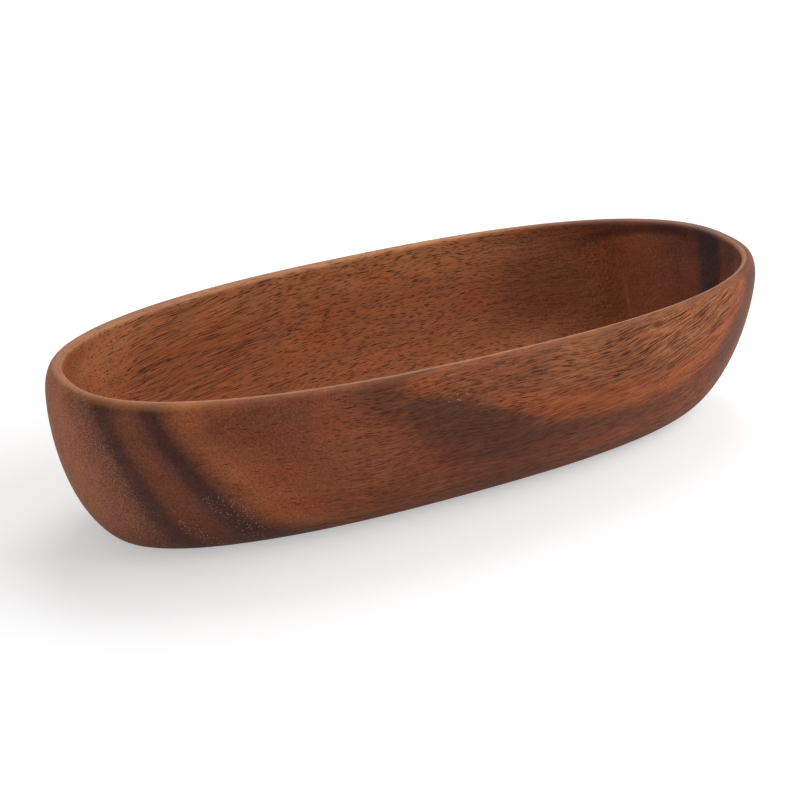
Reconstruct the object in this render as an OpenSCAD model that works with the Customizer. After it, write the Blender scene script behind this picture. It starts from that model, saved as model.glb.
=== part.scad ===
// A boat-shaped wooden snack bowl, carved from one block: a long oval with a flat foot,
// walls that belly up to their widest line, a rim rolled over on both sides and a smooth
// scooped hollow. All of it is a skin over level ovals, one set outside and one inside.
// The origin is at the middle of the foot, +X runs along the boat and +Z up.

/* [Boat] */
// Length over the widest line
boat_length = 300; // [220:5:400]
// Width over the widest line
boat_width = 114; // [90:2:160]
// Height from the foot to the top of the rim
boat_height = 65; // [50:1:90]
// How full the oval is in plan: 2 is an ellipse, more squares its shoulders
plan_fullness = 2.4; // [2:0.1:3.2]

/* [Outer wall] */
// How far the edge of the foot stands in from the widest line
foot_inset = 25; // [16:1:32]
// How the wall bellies from foot to widest line: 1 is straight, 2 is a quarter ellipse
wall_belly = 1.75; // [1.4:0.05:2.4]

/* [Rim] */
// How far the outer edge of the rim rolls in
outer_roll = 3.5; // [2:0.1:7]
// How far down the outer edge of the rim starts to roll
outer_roll_drop = 9; // [4:0.5:14]
// Width of the flat land between the rolled edges
rim_land = 1.5; // [1:0.1:5]
// Radius of the inner edge of the rim
inner_edge_radius = 1.5; // [0.5:0.1:4]

/* [Hollow] */
// Thickness of the floor
floor_thickness = 8; // [5:0.5:12]
// How far the flat of the floor stands in from the upright top of the hollow
floor_inset = 28; // [18:1:32]
// How the hollow curves from floor to mouth: 1 is straight, 2 is a quarter ellipse
hollow_belly = 1.75; // [1.4:0.05:2.4]
// How much fuller the hand-cut hollow is towards the +X end, in percent
hollow_swell = 5; // [0:0.5:7]
// How far the hand-cut hollow sits off centre, towards the -X end
hollow_off_centre = 0.5; // [0:0.1:2]

/* [Fineness] */
// Points round each oval, a multiple of four
points_round = 112; // [48:4:128]
// Levels up each wall
wall_levels = 13; // [6:1:16]
// Levels round each rolled edge of the rim
edge_levels = 5; // [3:1:8]

/* [Hidden] */

wood = "#8a4a28";
half_length = boat_length / 2;
half_width = boat_width / 2;
// Wall thickness just below the rolled edges of the rim
rim_thickness = outer_roll + rim_land + inner_edge_radius;
// Height of the widest line, where the outer wall stands upright
widest_height = boat_height - outer_roll_drop;
// Height at which the wall of the hollow stands upright
mouth_height = boat_height - inner_edge_radius;
// The hollow's solid runs this far past the rim, so that it cuts clean through
cut_through = 10;

// A power that keeps the sign, so that each quarter of an oval stays on its own side
function signed_power(value, power) = sign(value) * pow(abs(value), power);

// Direction of the k-th point round an oval, in degrees: midway between an even step in
// angle, which suits the long sides, and an even turn of the outline, which suits the
// tight ends. The odd quarters are the even ones mirrored.
function direction(k) =
    let (quarter = floor(4 * k / points_round),
         step = 360 * k / points_round - 90 * quarter,
         mirrored = quarter % 2 == 1 ? 90 - step : step,
         power = 1 / (2 - 2 / plan_fullness),
         turn = atan2(pow(sin(mirrored) * half_width / half_length, power),
                      pow(cos(mirrored), power)),
         mixed = (mirrored + turn) / 2)
    90 * quarter + (quarter % 2 == 1 ? 90 - mixed : mixed);

// The oval of the widest line, drawn in by inset, at height z
function outer_oval(inset, z) =
    [for (k = [0 : points_round - 1])
        let (a = direction(k))
        [(half_length - inset) * signed_power(cos(a), 2 / plan_fullness),
         (half_width - inset) * signed_power(sin(a), 2 / plan_fullness),
         z]];

// The same oval as the hand-cut hollow has it, swollen towards +X and set off centre
function hollow_oval(inset, z) =
    [for (p = outer_oval(inset, z))
        [p.x - hollow_off_centre,
         p.y * (1 + hollow_swell / 100 * p.x / half_length),
         z]];

// How far in (0 at the top, 1 at the foot) and how far up (0 to 1) a bellied wall is at
// a share of its levels. The levels crowd at the foot, where the wall turns fastest.
function bellied_in(share, belly) = 1 - pow(sin(90 * share), 2 / belly);
function bellied_up(share, belly) = 1 - pow(cos(90 * share), 2 / belly);

outer_levels = concat(
    [for (i = [0 : wall_levels])
        outer_oval(foot_inset * bellied_in(i / wall_levels, wall_belly),
                   widest_height * bellied_up(i / wall_levels, wall_belly))],
    [for (i = [1 : edge_levels])
        let (angle = 90 * i / edge_levels)
        outer_oval(outer_roll * (1 - cos(angle)),
                   widest_height + outer_roll_drop * sin(angle))]
);

hollow_levels = concat(
    [for (i = [0 : wall_levels])
        hollow_oval(rim_thickness + floor_inset * bellied_in(i / wall_levels, hollow_belly),
                    floor_thickness + (mouth_height - floor_thickness)
                        * bellied_up(i / wall_levels, hollow_belly))],
    [for (i = [1 : edge_levels])
        let (angle = 90 * i / edge_levels)
        hollow_oval(rim_thickness - inner_edge_radius * (1 - cos(angle)),
                    mouth_height + inner_edge_radius * sin(angle))],
    [hollow_oval(rim_thickness - inner_edge_radius, boat_height + cut_through)]
);

// A closed solid skinned over a stack of levels, from the lowest up
module skin(levels) {
    n = points_round;
    top = len(levels) - 1;
    polyhedron(
        points = [for (level = levels) each level],
        faces = concat(
            [[for (k = [0 : n - 1]) k]],
            [for (i = [0 : top - 1], k = [0 : n - 1])
                let (next = (k + 1) % n)
                each [[i * n + k, (i + 1) * n + k, (i + 1) * n + next],
                      [i * n + k, (i + 1) * n + next, i * n + next]]],
            [[for (k = [n - 1 : -1 : 0]) top * n + k]]
        )
    );
}

// The boat: the outer form less the hollow
module boat() {
    color(wood)
        difference() {
            skin(outer_levels);
            skin(hollow_levels);
        }
}

boat();
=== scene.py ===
# %% [markdown]
# # A wooden snack boat
# The object is a long oval bowl, carved from one block of oiled brown hardwood. It has one
# piece and nothing moves, so this lesson is about two things: a smooth carved form, and
# wood that looks as if it went right through the block.

# %% The frame
import math

import bpy
from mathutils import Matrix, Vector


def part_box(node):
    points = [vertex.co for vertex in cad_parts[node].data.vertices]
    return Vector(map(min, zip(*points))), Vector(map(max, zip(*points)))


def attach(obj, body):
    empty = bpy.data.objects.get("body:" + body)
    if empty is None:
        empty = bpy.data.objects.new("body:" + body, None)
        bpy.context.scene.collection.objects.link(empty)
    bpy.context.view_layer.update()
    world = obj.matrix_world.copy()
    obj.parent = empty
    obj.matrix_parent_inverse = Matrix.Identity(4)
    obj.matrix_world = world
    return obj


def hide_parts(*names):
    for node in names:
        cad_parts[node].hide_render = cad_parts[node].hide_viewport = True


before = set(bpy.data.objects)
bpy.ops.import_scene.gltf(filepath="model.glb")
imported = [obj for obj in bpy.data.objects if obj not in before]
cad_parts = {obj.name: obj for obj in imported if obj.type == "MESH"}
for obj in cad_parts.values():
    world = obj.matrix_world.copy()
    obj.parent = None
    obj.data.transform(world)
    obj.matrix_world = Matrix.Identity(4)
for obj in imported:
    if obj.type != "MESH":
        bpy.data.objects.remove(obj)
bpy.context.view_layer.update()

MM = 0.001
rim_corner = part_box("boat")[1]
half_length = rim_corner.x / MM
half_width = rim_corner.y / MM
boat_height = rim_corner.z / MM
print("boat", round(2 * half_length), "x", round(2 * half_width), "x", round(boat_height), "mm")

# %% [markdown]
# ## The form
# The real boat is carved and sanded: every level of it is a full oval, squarer at the
# shoulders than an ellipse. One way to make it is a cage under a subdivision surface, but
# a cage shrinks as it is smoothed. Here each level is worked out exactly, as a
# superellipse, and a fine skin of quads joins the levels. One skin goes up the outside,
# over the rim and down the hollow, so that the mesh is closed, with no doubled faces.

# %% Sizes of the form, in millimetres
plan_fullness = 2.4
foot_inset = 25.0
wall_belly = 1.75
outer_roll = 3.5
outer_roll_drop = 9.0
rim_land = 1.5
inner_edge_radius = 1.5
floor_thickness = 8.0
floor_inset = 28.0
hollow_belly = 1.75
hollow_swell = 0.05
hollow_off_centre = 0.5

rim_thickness = outer_roll + rim_land + inner_edge_radius
widest_height = boat_height - outer_roll_drop
mouth_height = boat_height - inner_edge_radius
print("rim", rim_thickness, "mm thick, widest at", widest_height, "mm up")

# %% [markdown]
# An oval needs its points close together at its tight ends. Even steps in angle crowd
# them on the long sides, and even turns of the outline crowd them at the ends, so each
# point stands midway between the two.

# %% Points round an oval
points_round = 208


def signed_power(value, power):
    return math.copysign(abs(value) ** power, value)


def direction(k):
    """The direction of the k-th point round an oval, in radians, mirrored quarter by quarter."""
    quarter = 4 * k // points_round
    right_angle = math.pi / 2
    step = 2 * math.pi * k / points_round - right_angle * quarter
    mirrored = right_angle - step if quarter % 2 else step
    power = 1 / (2 - 2 / plan_fullness)
    turn = math.atan2((math.sin(mirrored) * half_width / half_length) ** power,
                      abs(math.cos(mirrored)) ** power)
    mixed = (mirrored + turn) / 2
    return right_angle * quarter + (right_angle - mixed if quarter % 2 else mixed)


directions = [direction(k) for k in range(points_round)]


def outer_oval(inset, height, share=1.0):
    """One level of the outside: the widest oval drawn in by inset, then shrunk to a share."""
    power = 2 / plan_fullness
    return [((half_length - inset) * signed_power(math.cos(a), power) * share,
             (half_width - inset) * signed_power(math.sin(a), power) * share,
             height) for a in directions]


def hollow_oval(inset, height, share=1.0):
    """One level of the hollow, which is cut by hand: a little fuller at +X and off centre."""
    return [(x - hollow_off_centre, y * (1 + hollow_swell * x / half_length), z)
            for x, y, z in outer_oval(inset, height, share)]


print(points_round, "points round each level")

# %% [markdown]
# The section of the wall is a run of four curves that meet without a corner: the belly of
# the outside, the roll of its upper edge, the small round of the inner edge and the scoop
# of the hollow. Between the two rounds the rim is flat for a millimetre and a half. The
# foot and the floor are flat too, and are closed by rings that shrink to the middle.

# %% The levels of the skin
wall_levels = 30
roll_levels = 8
flat_shares = (0.0, 0.3, 0.6, 0.85)
quarter_turn = math.pi / 2


def bellied_in(share, belly):
    return 1 - math.sin(quarter_turn * share) ** (2 / belly)


def bellied_up(share, belly):
    return 1 - abs(math.cos(quarter_turn * share)) ** (2 / belly)


levels = [outer_oval(foot_inset, 0.0, share) for share in flat_shares[1:]]
for i in range(wall_levels + 1):
    share = i / wall_levels
    levels.append(outer_oval(foot_inset * bellied_in(share, wall_belly),
                             widest_height * bellied_up(share, wall_belly)))
for i in range(1, roll_levels + 1):
    turn = quarter_turn * i / roll_levels
    levels.append(outer_oval(outer_roll * (1 - math.cos(turn)),
                             widest_height + outer_roll_drop * math.sin(turn)))
for i in range(roll_levels, 0, -1):
    turn = quarter_turn * i / roll_levels
    levels.append(hollow_oval(rim_thickness - inner_edge_radius * (1 - math.cos(turn)),
                              mouth_height + inner_edge_radius * math.sin(turn)))
for i in range(wall_levels, -1, -1):
    share = i / wall_levels
    levels.append(hollow_oval(rim_thickness + floor_inset * bellied_in(share, hollow_belly),
                              floor_thickness + (mouth_height - floor_thickness)
                              * bellied_up(share, hollow_belly)))
levels += [hollow_oval(rim_thickness + floor_inset, floor_thickness, share)
           for share in reversed(flat_shares[1:])]
print(len(levels), "levels")

# %% [markdown]
# Every point of a level is joined to the same point of the next one, which gives even
# quads, and the foot and the floor are closed by a fan round their middle. Smooth shading
# hides the facets. The skin stands for the plain CAD solid, which stays for collisions,
# hidden.

# %% The carved skin
points = [tuple(value * MM for value in point) for level in levels for point in level]
foot_middle = len(points)
points.append((0.0, 0.0, 0.0))
floor_middle = len(points)
points.append((-hollow_off_centre * MM, 0.0, floor_thickness * MM))
last_level = (len(levels) - 1) * points_round

faces = []
for k in range(points_round):
    following = (k + 1) % points_round
    faces.append((foot_middle, following, k))
    for low in range(0, last_level, points_round):
        high = low + points_round
        faces.append((low + k, low + following, high + following, high + k))
    faces.append((floor_middle, last_level + k, last_level + following))

carved_mesh = bpy.data.meshes.new("carved_boat")
carved_mesh.from_pydata(points, [], faces)
carved_mesh.validate()
for face in carved_mesh.polygons:
    face.use_smooth = True
carved_boat = bpy.data.objects.new("carved_boat", carved_mesh)
bpy.context.scene.collection.objects.link(carved_boat)
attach(carved_boat, "root")
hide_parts("boat")
print(len(carved_mesh.polygons), "faces in the skin")

# %% [markdown]
# ## The wood
# A picture wrapped round the bowl would show seams. Real figure comes from the log: the
# growth rings are nested tubes round its heart, and carving cuts across them. So the wood
# is built the same way, from places in space. Every point asks how far it lies from the
# heart of the log, and that distance picks its colour.
#
# First some plain helpers, each of which makes one node and joins it up.

# %% Helpers for the finish
wood = bpy.data.materials.new("oiled_wood")
wood.use_nodes = True
sheet = wood.node_tree
sheet.nodes.clear()


def put(kind, **settings):
    """A node of this kind, with its settings."""
    node = sheet.nodes.new(kind)
    for name, value in settings.items():
        setattr(node, name, value)
    return node


def feed(socket, source):
    """Joins a socket to another node's output, or sets it to a value."""
    if isinstance(source, bpy.types.NodeSocket):
        sheet.links.new(source, socket)
    else:
        socket.default_value = source


def calc(operation, *terms):
    """One step of arithmetic."""
    node = put("ShaderNodeMath", operation=operation)
    for socket, term in zip(node.inputs, terms):
        feed(socket, term)
    return node.outputs[0]


def total(first, *others):
    """A sum of any number of terms."""
    for term in others:
        first = calc("ADD", first, term)
    return first


def product(first, *others):
    """A product of any number of terms."""
    for term in others:
        first = calc("MULTIPLY", first, term)
    return first


def less(first, second):
    return calc("SUBTRACT", first, second)


def rest(share):
    """What is left of one after a share."""
    return calc("SUBTRACT", 1.0, share)


def fade(value, start, end):
    """Nothing before start, one past end, and a soft change between them."""
    node = put("ShaderNodeMapRange", interpolation_type="SMOOTHSTEP")
    for name, term in {"Value": value, "From Min": start, "From Max": end}.items():
        feed(node.inputs[name], term)
    return node.outputs["Result"]


def hump(value, start, top_start, top_end, end):
    """One between the two tops, fading to nothing at start and end."""
    return product(fade(value, start, top_start), fade(value, end, top_end))


def close_to(value, middle, edge, core):
    """One within core of the middle, fading to nothing at edge."""
    return fade(calc("ABSOLUTE", less(value, middle)), edge, core)


print("helpers ready")

# %% [markdown]
# Irregular marks all start as clouds, which is Blender's noise, stretched one way or the
# other. Colours are laid over each other as a finisher would: a wash covers, a tint stains
# and a shine lightens or darkens.

# %% Helpers for patterns and colours
def place(x, y, z):
    """A place put together from its three numbers."""
    node = put("ShaderNodeCombineXYZ")
    for socket, term in zip(node.inputs, (x, y, z)):
        feed(socket, term)
    return node.outputs[0]


def clouds(where, detail=2.0):
    """Soft random clouds, about one to each unit of where, from 0 to 1."""
    node = put("ShaderNodeTexNoise", noise_dimensions="3D")
    feed(node.inputs["Vector"], where)
    node.inputs["Scale"].default_value = 1.0
    node.inputs["Detail"].default_value = detail
    return node.outputs["Fac"]


def swing(share, size):
    """Turns clouds from 0 to 1 into a push to both sides, this far from end to end."""
    return calc("MULTIPLY_ADD", share, size, -size / 2)


def linear(code):
    """A colour written as on a screen, #rrggbb, in the linear numbers that Blender uses."""
    parts = [int(code[i:i + 2], 16) / 255 for i in (1, 3, 5)]
    return tuple(p / 12.92 if p <= 0.04045 else ((p + 0.055) / 1.055) ** 2.4
                 for p in parts) + (1.0,)


def wash(under, code, share):
    """Lays a colour over another, as thick as share."""
    node = put("ShaderNodeMix", data_type="RGBA", clamp_factor=True)
    feed(node.inputs[0], share)
    feed(node.inputs[6], under)
    feed(node.inputs[7], linear(code))
    return node.outputs[2]


def tint(under, code, share):
    """Multiplies a colour by another, as if it were a stain over the wood."""
    node = put("ShaderNodeMix", data_type="RGBA", blend_type="MULTIPLY", clamp_factor=True)
    feed(node.inputs[0], share)
    feed(node.inputs[6], under)
    feed(node.inputs[7], linear(code))
    return node.outputs[2]


def wash_all(under, layers):
    """Lays many colours, each written as its code, how thick it is and where it lies."""
    for code, thickness, where in layers:
        under = wash(under, code, product(where, thickness))
    return under


def shine(colour, share):
    """A colour made lighter or darker, as 1 plus the share."""
    node = put("ShaderNodeVectorMath", operation="SCALE")
    feed(node.inputs[0], colour)
    feed(node.inputs["Scale"], calc("ADD", 1.0, share))
    return node.outputs[0]


print("pattern helpers ready")

# %% [markdown]
# The place of each point comes in metres and is turned to millimetres, so that every
# number below can be read against a ruler. How far the surface faces along the grain
# tells side grain, which is drawn out lengthwise, from end grain, which isn't. Whether it
# faces outwards tells the wall from the hollow.

# %% Where each point of the wood lies
coordinates = put("ShaderNodeTexCoord")
in_mm = put("ShaderNodeVectorMath", operation="SCALE")
feed(in_mm.inputs[0], coordinates.outputs["Object"])
in_mm.inputs["Scale"].default_value = 1 / MM
split = put("ShaderNodeSeparateXYZ")
feed(split.inputs[0], in_mm.outputs[0])
along, across, up = split.outputs

facing = put("ShaderNodeSeparateXYZ")
feed(facing.inputs[0], coordinates.outputs["Normal"])
outwards = total(product(facing.outputs[0], along, half_width / half_length),
                 product(facing.outputs[1], across))
outside = fade(outwards, -4.0, 4.0)
inside = rest(outside)
near_side = fade(across, 10.0, -25.0)
plain_side = close_to(facing.outputs[0], 0.0, 0.5, 0.3)
lengthwise = total(0.35, product(plain_side, 0.65))
print("axes in millimetres")

# %% [markdown]
# Fibres run the length of the boat, but not dead straight: towards the far left of the
# hollow they fall away, ever more steeply for 100 mm and then straight on, and on the near
# right of the outside they climb. A slow wave runs through all of them.

# %% The course of the fibres
far_side = rest(near_side)
fall_start = 50.0
climb_start = 30.0
left_of = calc("MAXIMUM", less(fall_start, along), 0.0)
steepening = calc("MINIMUM", left_of, 100.0)
right_of = calc("MAXIMUM", less(along, climb_start), 0.0)
fall = product(steepening, less(total(left_of, left_of), steepening), far_side, 0.0008)
climb = product(right_of, right_of, near_side, 0.0022)
wave = swing(clouds(place(product(along, 1 / 38), product(across, 1 / 30),
                          product(up, 1 / 22)), detail=1.0), 7.0)
fibre_up = total(less(total(up, fall), climb), wave)
fibre_across = total(across, wave)


def along_fibres(length, width):
    """Places scaled so that one unit is this long along the fibres and this wide across."""
    return place(product(along, 1 / length), product(fibre_across, 1 / width),
                 product(fibre_up, 1 / width))


print("fibres climb", round(0.0022 * (half_length - climb_start) ** 2), "mm at the right end")

# %% [markdown]
# The dashes and lines on the wall lie along its ovals, so they need a place measured over
# the skin: how far along the boat, and how far up the section from the middle of the foot
# or floor. An oval's own width at each point along the boat is taken out of it, and over
# the widest line of the outside the section turns back towards the keel. The far half
# takes another stretch of the pattern, so that it isn't the near one's mirror.

# %% Places measured over the skin
tip_limit = 0.985
far_half_shift = 170.0
half_share = calc("MINIMUM", product(calc("ABSOLUTE", along), 1 / half_length), tip_limit)
oval_share = calc("POWER", half_share, plan_fullness)
oval_width = calc("POWER", rest(oval_share), 1 / plan_fullness)
out_from_keel = calc("DIVIDE", calc("ABSOLUTE", across), oval_width)
past_widest = product(calc("GREATER_THAN", outwards, -8.0), calc("GREATER_THAN", up, widest_height))
turned_back = product(past_widest, less(half_width, out_from_keel), 2.0)
girth = product(total(fibre_up, out_from_keel, turned_back), math.sqrt(0.5))
far_half = product(calc("GREATER_THAN", across, 0.0), far_half_shift)


def over_skin(length, width):
    """Places on the skin, scaled so that one unit is this long and this wide, in mm."""
    return place(product(along, 1 / length), product(total(girth, far_half), 1 / width), 0.5)


def skin_clouds(length, width):
    """Soft random clouds stretched along the skin."""
    return clouds(over_skin(length, width), detail=1.0)


print("far half drawn", far_half_shift, "mm further up the pattern")

# %% [markdown]
# The heart of the log runs beside the boat, 69 mm behind its middle and 24 mm up, and
# drifts away towards the +X end. Slow clouds push the rings out of true, as knots and
# seasons do, and the fibres fray their edges. The last rings, those over 108 mm out, bulge
# a little left of the middle and droop to the right of it.

# %% Distance from the heart of the log
heart_across = 69.4
heart_drift = 0.093
heart_up = 23.6
heart_climb = 0.011

out_across = less(less(across, heart_across), product(along, heart_drift))
out_up = less(less(up, heart_up), product(along, heart_climb))
true_ring = calc("SQRT", total(product(out_across, out_across), product(out_up, out_up)))

sway = swing(clouds(place(product(along, 1 / 45), product(across, 1 / 30),
                          product(up, 1 / 25))), 2.0)
fray = product(swing(skin_clouds(5.0, 0.7), 1.4), lengthwise)
late_ring = fade(true_ring, 108.0, 116.0)
bulge = product(late_ring, hump(along, -48.0, -26.0, 0.0, 24.0), fade(up, 64.0, 56.0), 0.9)
past_middle = calc("MAXIMUM", less(along, 40.0), 0.0)
droop = product(late_ring, past_middle, total(0.045, product(past_middle, 0.0001)))
ring = less(total(true_ring, sway, fray, droop), bulge)
print("heart of the log", heart_across, "mm behind the middle")

# %% [markdown]
# A colour ramp turns distance into colour. Its two dark dips, at 86 and 98 mm, are the two
# dark bands that cross the near left of the wall, and the first of them comes up again
# inside the far end. One ramp serves both places, because rings go right through a block.

# %% Colour of the rings, from the heart out
ring_reach = 160.0
ring_colours = (
    (0.0, "#a35f3a"),
    (31.0, "#a15f3c"),
    (38.0, "#a86641"),
    (44.0, "#ae6f49"),
    (50.0, "#a36441"),
    (57.0, "#9f5e3e"),
    (66.0, "#b26a4c"),
    (73.0, "#a86651"),
    (78.0, "#985c48"),
    (82.0, "#7f4f40"),
    (85.0, "#5c3b32"),
    (87.2, "#5c3b33"),
    (89.6, "#7d4c39"),
    (92.7, "#89513b"),
    (95.0, "#76483a"),
    (96.8, "#5a3833"),
    (98.8, "#53342f"),
    (100.4, "#7b4937"),
    (102.2, "#9b593b"),
    (104.0, "#aa623f"),
    (109.0, "#9a5637"),
    (114.0, "#8c4e34"),
    (120.5, "#8a4d34"),
    (125.2, "#844a31"),
    (126.4, "#985334"),
    (128.0, "#a35934"),
    (130.5, "#985635"),
    (145.0, "#93583b"),
)
ring_ramp = put("ShaderNodeValToRGB")
feed(ring_ramp.inputs[0], product(ring, 1 / ring_reach))
ring_ramp.color_ramp.interpolation = "LINEAR"
stops = ring_ramp.color_ramp.elements
for i, (radius, code) in enumerate(ring_colours):
    stop = stops[i] if i < 2 else stops.new(radius / ring_reach)
    stop.position = radius / ring_reach
    stop.color = linear(code)
colour = ring_ramp.outputs["Color"]
print(len(ring_colours), "ring colours")

# %% [markdown]
# The rings alone don't explain every patch. Near the middle of the near wall a ring widens
# to a dark cloud and runs on to the right as a streak. Below it the wood is duller, along
# the top there are browner and tanner stretches, and the right end is dark. A painted shade
# darkens the wall towards the foot.

# %% Patches on the outside
patch_foot = product(fade(along, -22.0, -48.0), 5.0)
patch = product(outside, fade(less(ring, patch_foot), 115.0, 123.0), fade(ring, 127.2, 125.7),
                hump(along, -85.0, -52.0, 6.0, 24.0))
streak = product(outside, hump(ring, 121.0, 123.6, 124.8, 126.2), fade(along, 5.0, 20.0),
                 hump(along, 0.0, 20.0, 30.0, 170.0))
light_left = product(outside, late_ring, hump(along, -85.0, -62.0, -56.0, -36.0),
                     fade(ring, 124.0, 121.0))
dull = product(outside, late_ring, hump(along, -35.0, 5.0, 25.0, 60.0), fade(ring, 125.5, 124.0))
low_right = product(outside, fade(along, 25.0, 75.0), fade(ring, 125.5, 123.0))
end_band = product(outside, fade(along, 102.0, 120.0), hump(ring, 118.0, 121.5, 125.5, 128.0))
low_bands = product(outside, hump(ring, 89.0, 93.0, 99.0, 101.0), fade(up, 26.0, 12.0))
right_end = product(outside, fade(along, 108.0, 126.0),
                    rest(product(fade(ring, 118.0, 123.0), 0.5)))
tan_top = product(outside, fade(ring, 129.0, 131.5), fade(along, 5.0, 25.0))
brown_top = product(outside, hump(along, -124.0, -110.0, -88.0, -72.0), fade(up, 40.0, 58.0))
grey_top = product(outside, near_side, hump(along, -40.0, -20.0, 8.0, 34.0), fade(up, 44.0, 52.0))
dark_top = product(outside, near_side, hump(along, 34.0, 46.0, 58.0, 70.0), fade(up, 42.0, 50.0))
# Painted shade: the outside darker towards the foot.
painted_foot_shade = product(outside, fade(up, 17.0, 2.0))

colour = wash_all(colour, (("#6c3f2c", 0.6, dull),
                           ("#58392c", 0.85, patch),
                           ("#9c5a3c", 0.4, light_left),
                           ("#874a2b", 0.7, low_right),
                           ("#5d3a2f", 0.6, streak),
                           ("#644032", 0.7, right_end),
                           ("#4a2f29", 0.55, end_band),
                           ("#43302b", 0.35, low_bands),
                           ("#a46c48", 0.5, tan_top),
                           ("#74432f", 0.5, brown_top),
                           ("#7c5648", 0.28, grey_top),
                           ("#5c3626", 0.28, dark_top),
                           ("#54301f", 0.6, painted_foot_shade)))
print("patches laid on the outside")

# %% [markdown]
# Inside, a painted light makes the wall paler under the far rim. The wood darkens towards the
# right end, where the cut goes across the fibres, and a painted shade darkens that part more.
# A painted shadow of the rim crosses it there as a dark arc. The dark band comes up greyer
# than outside, with a thin cloud round its top.

# %% Patches in the hollow
# Painted shadow of the rim: a dark arc just under it, towards the right end.
arc_top_along = 138.0
arc_top_up = 62.0
arc_reach = less(arc_top_along, along)
arc_height = less(arc_top_up, product(arc_reach, arc_reach, 0.0045))
painted_rim_shadow = product(inside, close_to(up, arc_height, 3.8, 0.5), hump(along, 92.0, 112.0, 136.0, 143.0))
# Painted shade over the right part of the hollow, on top of the darker end grain there.
painted_far_shade = product(inside, hump(along, 42.0, 85.0, 112.0, 130.0), fade(up, 14.0, 34.0))
left_inside = product(inside, fade(along, -116.0, -136.0))
# Painted light: the wall inside is paler just under the rim.
painted_light_under_rim = product(inside, fade(up, 44.0, 58.0), fade(along, 105.0, 65.0))
far_end = product(inside, fade(along, 114.0, 128.0))
end_grey = product(far_end, hump(ring, 54.0, 66.0, 76.0, 82.0))
end_dark = product(far_end, hump(ring, 75.0, 81.5, 88.0, 91.0))
end_plain = product(far_end, hump(ring, 88.5, 91.5, 104.0, 107.0))
end_cloud = product(far_end, hump(ring, 62.0, 68.0, 96.0, 102.0), fade(up, 46.0, 58.0))
colour = wash_all(colour, (("#683825", 0.7, painted_far_shade),
                           ("#c07c54", 0.42, painted_light_under_rim),
                           ("#965f47", 0.75, end_grey),
                           ("#966656", 0.75, end_plain),
                           ("#6a5850", 0.3, end_cloud),
                           ("#544a4c", 0.8, end_dark),
                           ("#38251f", 0.62, painted_rim_shadow),
                           ("#834b30", 0.65, left_inside)))
print("patches laid in the hollow")

# %% [markdown]
# Streaks follow the fibres at three sizes: broad bands, threads half a millimetre wide,
# and the lines of single seasons. Two places are lined more than the rest: the far left of
# the hollow, and the near right of the wall, where the fibres climb.

# %% Streaks along the fibres
long_side = product(inside, far_side, hump(along, -116.0, -98.0, -60.0, -25.0))
climbing = product(outside, near_side, hump(along, 35.0, 60.0, 106.0, 122.0),
                   fade(ring, 127.5, 130.5))
lined = calc("MAXIMUM", long_side, climbing)
left_bare = product(outside, near_side, fade(along, -45.0, -85.0))

broad_streaks = swing(clouds(along_fibres(60.0, 8.0)), 0.45)
thread_share = total(1.0, product(outside, 0.55), product(outside, fade(along, 50.0, 80.0), 0.35))
threads = product(swing(skin_clouds(9.0, 0.45), 0.8), rest(product(left_bare, 0.7)),
                  lengthwise, thread_share)
season_lines = swing(clouds(place(product(ring, 1 / 1.6), product(along, 1 / 90), 0.0),
                            detail=3.0), 0.3)
speckled = total(0.35, product(outside, 0.1),
                 product(calc("MAXIMUM", left_bare, fade(along, 50.0, 90.0)), 0.85))
fine_spots = place(product(along, 1 / 0.9), product(across, 1 / 0.7), product(up, 1 / 0.7))
mottle = product(swing(clouds(fine_spots, detail=1.0), 1.0), speckled)
hues = clouds(along_fibres(26.0, 8.0))
dark_lines = product(fade(skin_clouds(16.0, 0.5), 0.52, 0.66), lined)
colour = tint(colour, "#fff0ea", fade(hues, 0.5, 0.75))
colour = tint(colour, "#f4fbff", fade(hues, 0.5, 0.28))
rim_top = fade(up, 62.8, 64.2)
rim_spots = place(product(along, 1 / 9), product(across, 1 / 5), 0.5)
rim_patches = product(swing(clouds(rim_spots, detail=3.0), 0.8), rim_top)
colour = shine(colour, total(broad_streaks, threads, season_lines, mottle, rim_patches, 0.05,
                             product(climbing, 0.07)))
colour = wash(colour, "#6a3418", product(dark_lines, 0.34))
print("streaks laid")

# %% [markdown]
# Pores are the cut ends of the vessels, thin tubes that once carried water. Cut
# lengthwise they are dark dashes, and cut across they are dots. Random cells, long and
# thin or round, give both from one pattern, and a lot drawn for each cell says whether it
# holds a pore and how wide. The dashes are long where the fibres run level with the wall
# and short where they dip, and finer hairs fill in between them.

# %% Pores
def vessels(where, bore, kept):
    """Random cells with a core of any size up to bore, in the share kept of them."""
    cells = put("ShaderNodeTexVoronoi", voronoi_dimensions="2D", feature="F1")
    feed(cells.inputs["Vector"], where)
    cells.inputs["Scale"].default_value = 1.0
    chance = put("ShaderNodeSeparateColor")
    feed(chance.inputs[0], cells.outputs["Color"])
    lot = chance.outputs["Blue"]
    size = calc("MULTIPLY_ADD", calc("FRACT", product(lot, 17.0)), bore * 0.6, bore * 0.4)
    core = fade(cells.outputs["Distance"], size, product(size, 0.4))
    return product(core, fade(lot, rest(kept), less(1.05, kept)))


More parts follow.
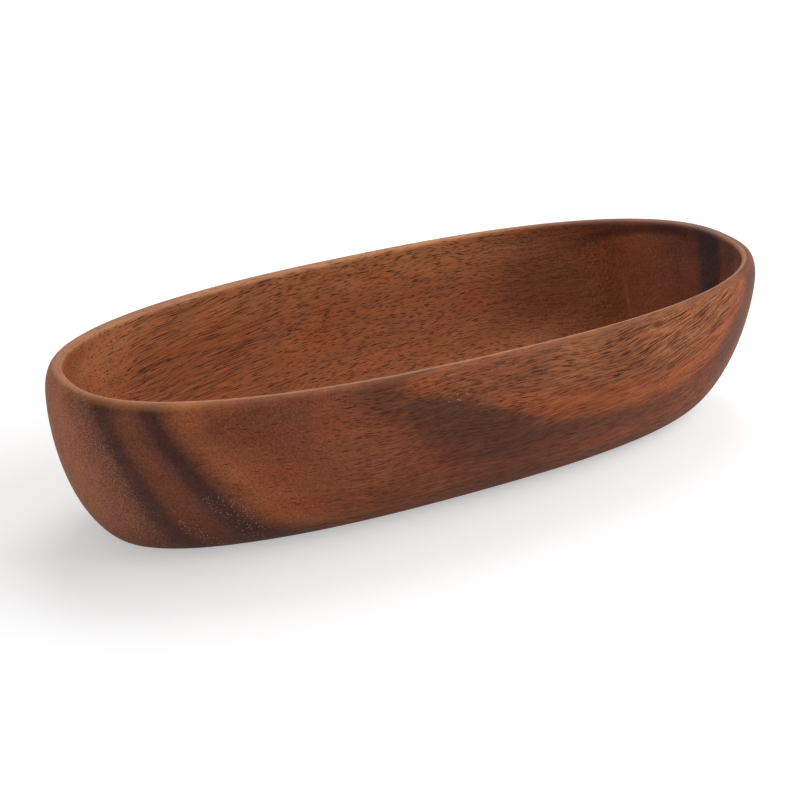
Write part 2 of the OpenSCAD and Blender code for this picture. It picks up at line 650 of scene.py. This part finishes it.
bare_glow = product(outside, fade(along, 15.0, 40.0), hump(ring, 125.0, 126.5, 128.0, 130.5), 0.8)
wall = product(plain_side, rest(product(rim_top, 0.6)),
               rest(product(inside, fade(along, -92.0, -120.0))))
bore = 0.46
long_vessels = vessels(over_skin(18.0, 0.46), bore, product(wall, lined, 0.8))
bold_vessels = vessels(over_skin(13.0, 0.8), bore, product(wall, climbing, 0.35))
plain_wall = product(wall, rest(product(lined, 0.6)), rest(product(left_bare, 0.85)),
                     rest(bare_glow))
long_dashed = product(outside, fade(along, -15.0, 15.0))
middle_vessels = vessels(over_skin(8.5, 0.5), bore, product(plain_wall, long_dashed, 0.85))
short_vessels = vessels(over_skin(4.7, 0.46), 0.47, product(plain_wall, rest(long_dashed), 0.72))
cut_ends = place(product(fibre_across, 1 / 0.95), product(fibre_up, 1 / 0.95), 0.0)
cut_across = product(calc("MAXIMUM", rest(plain_side), rest(wall)), inside, fade(along, 60.0, 0.0))
cut_vessels = vessels(cut_ends, 0.42, product(cut_across, 0.75))
dots = vessels(place(product(along, 1 / 1.6), product(up, 1 / 1.3), 0.0), 0.3,
               product(left_bare, fade(along, -120.0, -105.0), 0.4))
deep_inside = product(inside, fade(along, 50.0, 85.0))
pores = total(product(total(long_vessels, bold_vessels, middle_vessels, short_vessels),
                      rest(product(deep_inside, 0.35))),
              product(cut_vessels, 0.75), product(dots, 0.6))
hairs = fade(skin_clouds(5.0, 0.36), 0.52, 0.7)
hair_share = product(plain_side, rest(left_bare), total(0.28, product(outside, 0.16)))
dash_share = less(0.86, product(long_side, 0.1))
colour = wash(colour, "#552713", total(product(pores, dash_share), product(hairs, hair_share, 1.15)))
print("pores laid")

# %% [markdown]
# Where the end of the boat cuts the fibres across, the vessels are filled with pale gum.
# They stipple the near left end, gather along the foot of the two dark bands and in one
# small fleck over the dark patch, and golden ones catch the light inside the far end.

# %% Pale specks
left_end = product(outside, fade(along, -95.0, -115.0))
grains = clouds(place(product(along, 2.0), product(across, 2.0), product(up, 2.0)), detail=1.0)
stipple = product(fade(grains, 0.52, 0.68), left_end, fade(ring, 88.0, 80.0))
first_foot = product(hump(ring, 87.5, 89.0, 91.0, 93.0), fade(up, 26.0, 16.0))
second_foot = product(hump(ring, 94.5, 97.0, 100.5, 102.5), fade(up, 34.0, 26.0))
foot_of_bands = product(outside, near_side, fade(along, -84.0, -94.0),
                        calc("MAXIMUM", first_foot, second_foot))
fleck_along = -22.5
fleck_up = 54.0
fleck = product(outside, near_side, close_to(along, fleck_along, 5.0, 2.0),
                close_to(up, fleck_up, 2.4, 1.0), 0.5)
gum_cells = place(product(less(along, across), 1 / 1.35), up, 0.0)
gum = vessels(gum_cells, 0.31, product(calc("MAXIMUM", product(foot_of_bands, 0.55), fleck), 0.8))
gold_zone = product(inside, hump(along, 92.0, 108.0, 124.0, 134.0), fade(up, 61.0, 54.0))
rays = clouds(place(product(along, 1.8), product(across, 1.8), product(up, 0.35)), detail=1.0)
gold = product(total(fade(grains, 0.54, 0.66), fade(rays, 0.55, 0.68)), gold_zone)
golden_line = product(inside, close_to(along, 119.5, 0.9, 0.3), hump(up, 22.0, 28.0, 36.0, 44.0))
colour = wash_all(colour, (("#d09a78", 0.62, stipple),
                           ("#dab592", 0.66, gum)))
colour = wash(colour, "#b87038", total(product(gold, 0.38), product(golden_line, 0.4)))
print("pale specks laid")

# %% [markdown]
# Hands and cloths polish the rim, so it takes its own tones: paler on the far side and at
# the near left, browner along the near wall and greyer round the right end. A thin pale line
# along the near inner edge is partly wear and partly a painted highlight.

# %% The rim
near_rim = product(rim_top, near_side)
near_middle = product(near_rim, fade(along, -128.0, -95.0))
near_left = product(near_rim, fade(along, -95.0, -128.0))
near_right = product(near_rim, fade(along, 60.0, 95.0))
far_land = product(fade(up, 64.2, 64.9), far_side)
far_right = product(rim_top, far_side, fade(along, 75.0, 120.0))
# A pale line on the near inner edge, partly wear and partly a painted highlight.
worn_and_highlit_edge = product(inside, near_side, fade(up, 63.4, 64.6))
colour = wash_all(colour, (("#7b4a34", 0.28, near_middle),
                           ("#c47e4e", 0.4, near_left),
                           ("#cba07c", 0.26, far_land),
                           ("#7d5f58", 0.5, far_right),
                           ("#7a4c38", 0.42, near_right),
                           ("#dcb090", 0.3, worn_and_highlit_edge)))
print("rim laid")

# %% [markdown]
# Oil leaves a soft satin, rough enough to blur every reflection. The pores stay open: they
# lie a little lower than the rest and are rougher still, and the threads stand up a hair.

# %% Sheen and relief
satin_roughness = 0.58
oil_gloss = 0.09
relief = total(product(pores, -0.12), product(threads, 0.04))
bump = put("ShaderNodeBump")
bump.inputs["Strength"].default_value = 0.6
bump.inputs["Distance"].default_value = MM
feed(bump.inputs["Height"], relief)

oiled = put("ShaderNodeBsdfPrincipled")
feed(oiled.inputs["Base Color"], colour)
feed(oiled.inputs["Roughness"], total(satin_roughness, product(pores, 0.15)))
oiled.inputs["Specular IOR Level"].default_value = oil_gloss
feed(oiled.inputs["Normal"], bump.outputs[0])
surface = put("ShaderNodeOutputMaterial")
feed(surface.inputs["Surface"], oiled.outputs[0])
carved_mesh.materials.append(wood)
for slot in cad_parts["boat"].material_slots:
    slot.material = wood
print(len(sheet.nodes), "nodes in the wood")

# %% [markdown]
# ## The studio
# A plain pale floor, a white surround and two soft boxes. Rays from the camera see the
# surround as pure white, while the light it gives the wood is lower. The floor glows for
# those rays too: only a little round the boat, so that its shadow stays, and up to white
# further off, where the lamps no longer reach.

# %% Floor
reach = 3.0
floor_gap = 0.0002
paper_grey = 0.75
floor_mesh = bpy.data.meshes.new("floor")
floor_mesh.from_pydata([(-reach, -reach, -floor_gap), (reach, -reach, -floor_gap),
                        (reach, reach, -floor_gap), (-reach, reach, -floor_gap)],
                       [], [(0, 1, 2, 3)])
floor = bpy.data.objects.new("floor", floor_mesh)
bpy.context.scene.collection.objects.link(floor)

white_paper = bpy.data.materials.new("white_paper")
white_paper.use_nodes = True
paper = white_paper.node_tree
plain_paper = paper.nodes["Principled BSDF"]
plain_paper.inputs["Base Color"].default_value = (paper_grey, paper_grey, paper_grey, 1.0)
plain_paper.inputs["Roughness"].default_value = 0.9


def sees_surround(tree):
    """1 for rays that come from the camera, off a gloss or through glass, and 0 for light."""
    rays = tree.nodes.new("ShaderNodeLightPath")
    seen = rays.outputs["Is Camera Ray"]
    for kind in ("Is Glossy Ray", "Is Transmission Ray"):
        either = tree.nodes.new("ShaderNodeMath")
        either.operation = "MAXIMUM"
        tree.links.new(seen, either.inputs[0])
        tree.links.new(rays.outputs[kind], either.inputs[1])
        seen = either.outputs[0]
    return seen


print("floor", 2 * reach, "m wide")

# %% [markdown]
# The glow is a second shader, added for the rays that see the floor and not for those that
# light the wood. How far a point lies from the boat sets its strength.

# %% Glow of the floor
near_glow = 0.42
glow_starts, glow_full = 0.4, 1.1
floor_place = paper.nodes.new("ShaderNodeTexCoord")
far_off = paper.nodes.new("ShaderNodeVectorMath")
far_off.operation = "LENGTH"
glow_rise = paper.nodes.new("ShaderNodeMapRange")
glow_rise.interpolation_type = "SMOOTHSTEP"
glow_rise.inputs["From Min"].default_value = glow_starts
glow_rise.inputs["From Max"].default_value = glow_full
glow_rise.inputs["To Min"].default_value = near_glow
paper_glow = paper.nodes.new("ShaderNodeEmission")
paper.links.new(floor_place.outputs["Object"], far_off.inputs[0])
paper.links.new(far_off.outputs["Value"], glow_rise.inputs["Value"])
paper.links.new(glow_rise.outputs["Result"], paper_glow.inputs["Strength"])
paper_add = paper.nodes.new("ShaderNodeAddShader")
paper_pick = paper.nodes.new("ShaderNodeMixShader")
paper.links.new(plain_paper.outputs[0], paper_add.inputs[0])
paper.links.new(paper_glow.outputs[0], paper_add.inputs[1])
paper.links.new(sees_surround(paper), paper_pick.inputs[0])
paper.links.new(plain_paper.outputs[0], paper_pick.inputs[1])
paper.links.new(paper_add.outputs[0], paper_pick.inputs[2])
paper.links.new(paper_pick.outputs[0], paper.nodes["Material Output"].inputs["Surface"])
floor_mesh.materials.append(white_paper)
print("floor glows", near_glow, "near the boat and 1.0 from", glow_full, "m out")

# %% [markdown]
# The surround is the world: white to the rays that see it, and a third as bright as light.

# %% Surround
scene = bpy.context.scene
studio = bpy.data.worlds.new("studio")
scene.world = studio
studio.use_nodes = True
air = studio.node_tree
room_light = 0.35
strength = air.nodes.new("ShaderNodeMath")
strength.operation = "MULTIPLY_ADD"
strength.inputs[1].default_value = 1.0 - room_light
strength.inputs[2].default_value = room_light
air.links.new(sees_surround(air), strength.inputs[0])
air.nodes["Background"].inputs["Color"].default_value = (1.0, 1.0, 1.0, 1.0)
air.links.new(strength.outputs[0], air.nodes["Background"].inputs["Strength"])
print("room light", room_light)

# %% [markdown]
# Two soft boxes light the wood. The big one, to the right and in front, makes the near
# right of the wall the brightest, and the small one behind lights the rim and the hollow.
# Both are wide and near, so that no edge of a shadow is hard.

# %% Lamps
def soft_lamp(name, spot, aim, width, power):
    """A square soft box at spot, turned to aim, in metres and watts."""
    lamp = bpy.data.lights.new(name, "AREA")
    lamp.shape = "SQUARE"
    lamp.size = width
    lamp.energy = power
    holder = bpy.data.objects.new(name, lamp)
    holder.location = spot
    holder.rotation_mode = "QUATERNION"
    holder.rotation_quaternion = (Vector(aim) - Vector(spot)).to_track_quat("-Z", "Y")
    scene.collection.objects.link(holder)


boat_middle = (0.0, 0.0, 0.03)
soft_lamp("right_box", (0.74, -0.36, 0.6), boat_middle, width=0.8, power=6.8)
soft_lamp("back_box", (0.22, 0.36, 0.9), boat_middle, width=0.5, power=3.2)
print("two soft boxes")

# %% [markdown]
# ## The camera
# A long lens, 34 degrees round to the left from the front, 25 degrees up and leaning by
# two, as in the photograph. Its place was found by matching the outline of the boat.

# %% Camera
camera_turn = math.radians(-33.505)
camera_rise = math.radians(25.058)
camera_lean = math.radians(1.839)
camera_distance = 0.878302
camera_aside = -0.007279
camera_lift = 0.022444
lens_pixels = 2283.247
photo_pixels = 800
sensor_mm = 36.0

back = Vector((math.sin(camera_turn) * math.cos(camera_rise),
               -math.cos(camera_turn) * math.cos(camera_rise), math.sin(camera_rise)))
level_right = Vector((math.cos(camera_turn), math.sin(camera_turn), 0.0))
level_up = back.cross(level_right)
lens_right = level_right * math.cos(camera_lean) + level_up * math.sin(camera_lean)
lens_up = level_up * math.cos(camera_lean) - level_right * math.sin(camera_lean)
spot = back * camera_distance + lens_right * camera_aside + lens_up * camera_lift

camera = bpy.data.cameras.new("camera")
camera.sensor_width = sensor_mm
camera.lens = lens_pixels / photo_pixels * sensor_mm
camera_holder = bpy.data.objects.new("camera", camera)
camera_holder.matrix_world = Matrix(((lens_right.x, lens_up.x, back.x, spot.x),
                                     (lens_right.y, lens_up.y, back.y, spot.y),
                                     (lens_right.z, lens_up.z, back.z, spot.z),
                                     (0.0, 0.0, 0.0, 1.0)))
scene.collection.objects.link(camera_holder)
scene.camera = camera_holder
scene.view_settings.view_transform = "Standard"
print("lens", round(camera.lens, 2), "mm")

# %% [markdown]
# The dressed boat mustn't outgrow the plain one.

print("scene ready")
